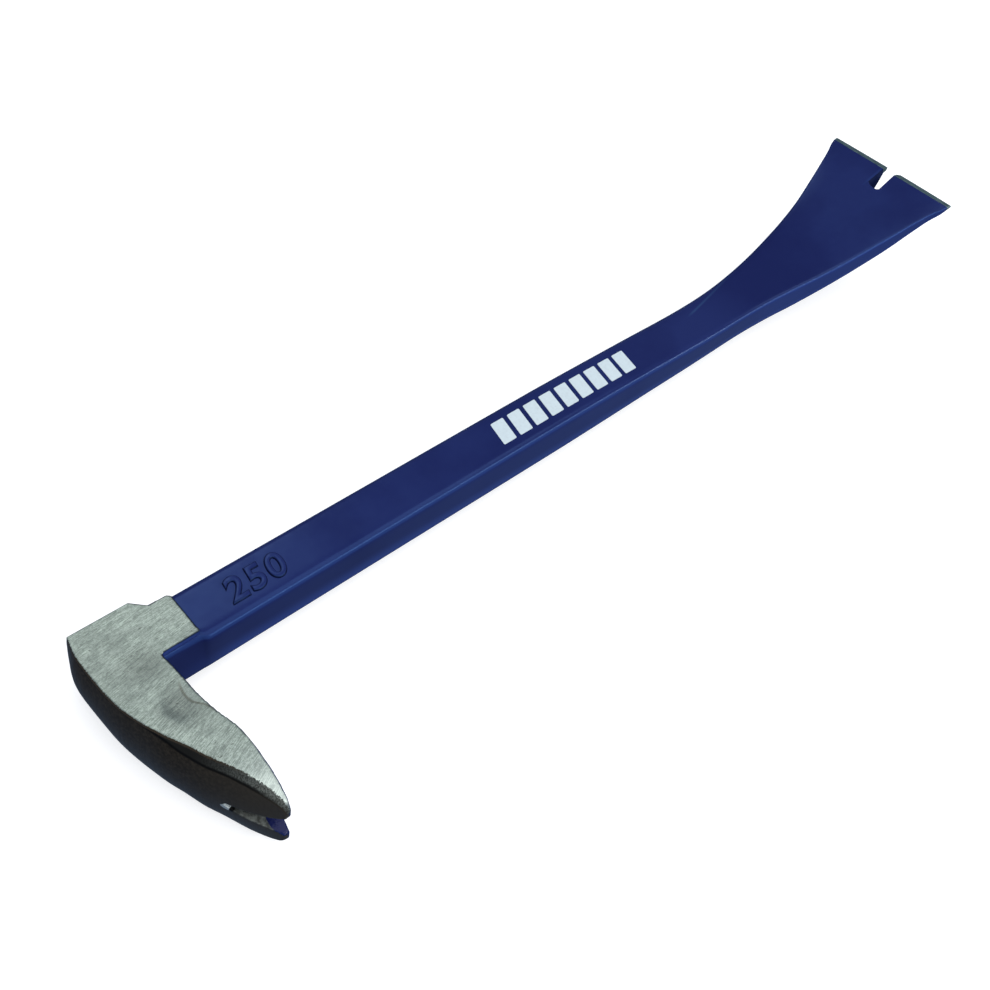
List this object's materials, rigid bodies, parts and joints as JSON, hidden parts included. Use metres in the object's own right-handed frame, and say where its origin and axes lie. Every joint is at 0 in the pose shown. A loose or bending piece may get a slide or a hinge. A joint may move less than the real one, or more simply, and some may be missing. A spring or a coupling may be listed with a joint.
{
  "type": "pry bar",
  "caption": "Forged nail-puller pry bar with a ground steel claw and hammer poll square to one end, a painted rounded shank and a flared, bent-up, notched blade.",
  "frame": {"origin": "under the middle of the bounding box, at the lowest point of the tool as it lies on its side", "axes": "+X along the shank from the claw head to the blade tip, +Y out of the hammer poll's strike face with the claw pointing to -Y, +Z square to the shank's upper broad face, the way the blade bends"},
  "size_m": [0.257, 0.0614, 0.0305],
  "materials": {
    "paint_blue": "smooth dark blue enamel, semi-gloss",
    "bare_steel": "belt-ground forged steel",
    "print_white": "white printed ink"
  },
  "bodies": {
    "root": {"claw_head": "bare_steel", "claw_tine_upper": "bare_steel", "claw_tine_lower": "bare_steel", "shank": "paint_blue", "pry_blade": "paint_blue", "blade_edge_left": "bare_steel", "blade_edge_right": "bare_steel", "size_digit_1": "paint_blue", "size_digit_2": "paint_blue", "size_digit_3": "paint_blue", "print_block_1": "print_white", "print_block_2": "print_white", "print_block_3": "print_white", "print_block_4": "print_white", "print_block_5": "print_white", "print_block_6": "print_white", "print_block_7": "print_white", "print_block_8": "print_white", "print_block_9": "print_white"}
  },
  "joints": []
}
